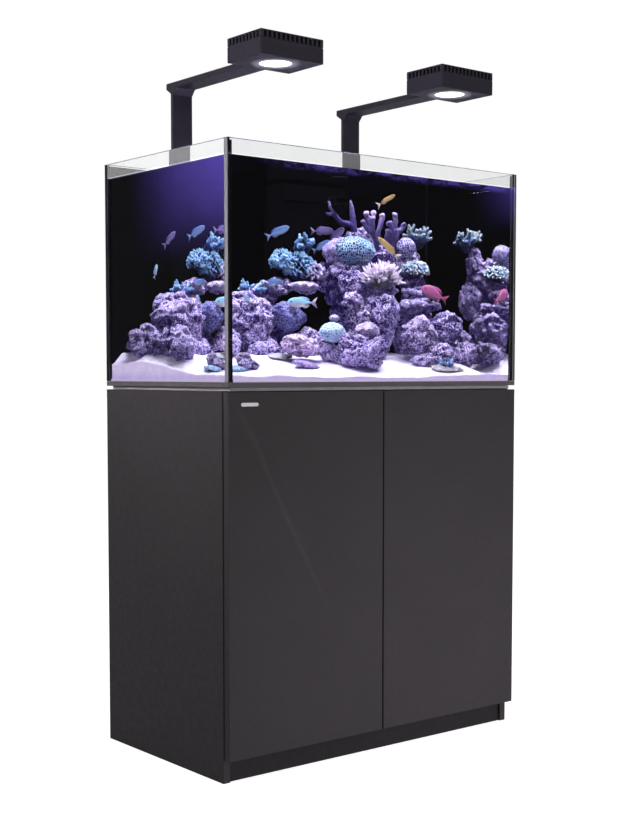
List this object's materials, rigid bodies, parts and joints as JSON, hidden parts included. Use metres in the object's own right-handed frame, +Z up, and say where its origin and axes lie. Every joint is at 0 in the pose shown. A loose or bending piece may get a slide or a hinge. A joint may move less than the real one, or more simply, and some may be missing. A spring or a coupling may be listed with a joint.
{
  "type": "aquarium on stand",
  "caption": "Rimless reef aquarium with rocks and sand on a charcoal two-door cabinet with a sump, and clamp-on lights on arms over the tank.",
  "frame": {"origin": "on the floor, under the centre of the object's bounding box", "axes": "+Z up; +Y towards the back of the tank, so that the doors face -Y; +X to the right as seen from the front"},
  "size_m": [0.9, 0.557, 1.6745],
  "materials": {
    "cabinet_board": "matt charcoal laminate with a fine grain",
    "clear_glass": "clear polished plate glass",
    "dark_glass": "glass base plate, painted dark grey below",
    "black_silicone": "black tooled silicone",
    "background_black": "black film",
    "grey_mat": "light grey foam levelling mat",
    "weir_black": "black moulded acrylic",
    "pipe_black": "dark grey PVC",
    "valve_red": "moulded",
    "reef_sand": "white coral sand",
    "reef_rock": "porous live rock with purple coralline algae",
    "steel": "nickel plated",
    "light_black": "black anodised, fine texture",
    "lamp_lens": "frosted lens, lit",
    "clear_acrylic": "clear acrylic",
    "filter_felt": "white needle felt",
    "badge_grey": "satin",
    "coral": "live coral",
    "fish": "scaled skin",
    "water": "clear sea water"
  },
  "bodies": {
    "stand": {"background_film": "background_black", "cabinet_back": "cabinet_board", "cabinet_floor": "cabinet_board", "cabinet_top": "cabinet_board", "drain_pipe_lower": "pipe_black", "drain_pipe_upper": "pipe_black", "emergency_pipe": "pipe_black", "front_rail": "cabinet_board", "gate_valve_body": "pipe_black", "hinge_arm_left_lower": "steel", "hinge_arm_left_upper": "steel", "hinge_arm_right_lower": "steel", "hinge_arm_right_upper": "steel", "latch_block": "pipe_black", "levelling_mat": "grey_mat", "plinth": "cabinet_board", "reef_rock_left": "reef_rock", "reef_rock_main": "reef_rock", "return_pipe": "pipe_black", "return_pump": "pipe_black", "sand_bed": "reef_sand", "side_panel_left": "cabinet_board", "side_panel_right": "cabinet_board", "silicone_seal": "black_silicone", "sump_tank": "clear_acrylic", "tank_back_pane": "clear_glass", "tank_bottom_pane": "dark_glass", "tank_front_pane": "clear_glass", "tank_left_pane": "clear_glass", "tank_right_pane": "clear_glass", "top_up_tank": "clear_acrylic", "weir_box": "weir_black"},
    "door_left": {"door_left": "cabinet_board", "hinge_cup_left_lower": "steel", "hinge_cup_left_upper": "steel", "door_badge": "badge_grey"},
    "door_right": {"door_right": "cabinet_board", "hinge_cup_right_lower": "steel", "hinge_cup_right_upper": "steel"},
    "latch_plunger_left": {"latch_plunger_left": "steel"},
    "latch_plunger_right": {"latch_plunger_right": "steel"},
    "valve_knob": {"gate_valve_knob": "valve_red"},
    "return_nozzle": {"return_nozzle": "pipe_black"},
    "weir_comb": {"weir_comb": "weir_black"},
    "filter_sock": {"filter_sock": "filter_felt"},
    "pump_impeller": {"pump_impeller": "pipe_black"},
    "light_left_clamp": {"light_clamp_left": "light_black"},
    "light_left_screw": {"light_clamp_screw_left": "light_black"},
    "light_left_mast": {"light_mast_left": "light_black", "light_housing_left": "light_black", "light_cover_left": "light_black", "light_lens_left": "lamp_lens"},
    "light_left_fan": {"light_fan_left": "light_black"},
    "light_right_clamp": {"light_clamp_right": "light_black"},
    "light_right_screw": {"light_clamp_screw_right": "light_black"},
    "light_right_mast": {"light_mast_right": "light_black", "light_housing_right": "light_black", "light_cover_right": "light_black", "light_lens_right": "lamp_lens"},
    "light_right_fan": {"light_fan_right": "light_black"}
  },
  "joints": [
    {"name": "door_left_hinge", "type": "hinge", "parent": "stand", "child": "door_left", "pos_m": [-0.44, -0.2685, 0.46], "axis": [0, 0, -1], "range_deg": [0, 95]},
    {"name": "door_right_hinge", "type": "hinge", "parent": "stand", "child": "door_right", "pos_m": [0.44, -0.2685, 0.46], "axis": [0, 0, 1], "range_deg": [0, 95]},
    {"name": "latch_push_left", "type": "slide", "parent": "stand", "child": "latch_plunger_left", "axis": [0, 1, 0], "range_m": [0, 0.003], "stiffness_N_per_m": 250},
    {"name": "latch_push_right", "type": "slide", "parent": "stand", "child": "latch_plunger_right", "axis": [0, 1, 0], "range_m": [0, 0.003], "stiffness_N_per_m": 250},
    {"name": "gate_valve_turn", "type": "hinge", "parent": "stand", "child": "valve_knob", "pos_m": [-0.05, 0.1135, 0.625], "axis": [0, -1, 0], "range_deg": [0, 1350]},
    {"name": "return_nozzle_swing", "type": "hinge", "parent": "stand", "child": "return_nozzle", "pos_m": [0.05, 0.0892, 1.3365], "axis": [0, 0, 1], "range_deg": [-35, 35]},
    {"name": "weir_comb_lift", "type": "slide", "parent": "stand", "child": "weir_comb", "axis": [0, 0, 1], "range_m": [0, 0.06]},
    {"name": "filter_sock_lift", "type": "slide", "parent": "stand", "child": "filter_sock", "axis": [0, 0, 1], "range_m": [0, 0.08]},
    {"name": "pump_impeller_spin", "type": "hinge", "parent": "stand", "child": "pump_impeller", "pos_m": [0.333, -0.0305, 0.114], "axis": [0, 1, 0], "continuous": true},
    {"name": "light_left_rim_slide", "type": "slide", "parent": "stand", "child": "light_left_clamp", "axis": [1, 0, 0], "range_m": [-0.1, 0.08]},
    {"name": "light_left_screw_turn", "type": "hinge", "parent": "light_left_clamp", "child": "light_left_screw", "pos_m": [-0.22, 0.2565, 1.3835], "axis": [0, 1, 0], "range_deg": [0, 720]},
    {"name": "light_left_height", "type": "slide", "parent": "light_left_clamp", "child": "light_left_mast", "axis": [0, 0, 1], "range_m": [-0.05, 0.03]},
    {"name": "light_left_fan_spin", "type": "hinge", "parent": "light_left_mast", "child": "light_left_fan", "pos_m": [-0.22, -0.1465, 1.646], "axis": [0, 0, 1], "continuous": true},
    {"name": "light_right_rim_slide", "type": "slide", "parent": "stand", "child": "light_right_clamp", "axis": [1, 0, 0], "range_m": [-0.1, 0.05]},
    {"name": "light_right_screw_turn", "type": "hinge", "parent": "light_right_clamp", "child": "light_right_screw", "pos_m": [0.34, 0.2565, 1.3835], "axis": [0, 1, 0], "range_deg": [0, 720]},
    {"name": "light_right_height", "type": "slide", "parent": "light_right_clamp", "child": "light_right_mast", "axis": [0, 0, 1], "range_m": [-0.05, 0.03]},
    {"name": "light_right_fan_spin", "type": "hinge", "parent": "light_right_mast", "child": "light_right_fan", "pos_m": [0.34, -0.1465, 1.646], "axis": [0, 0, 1], "continuous": true}
  ]
}
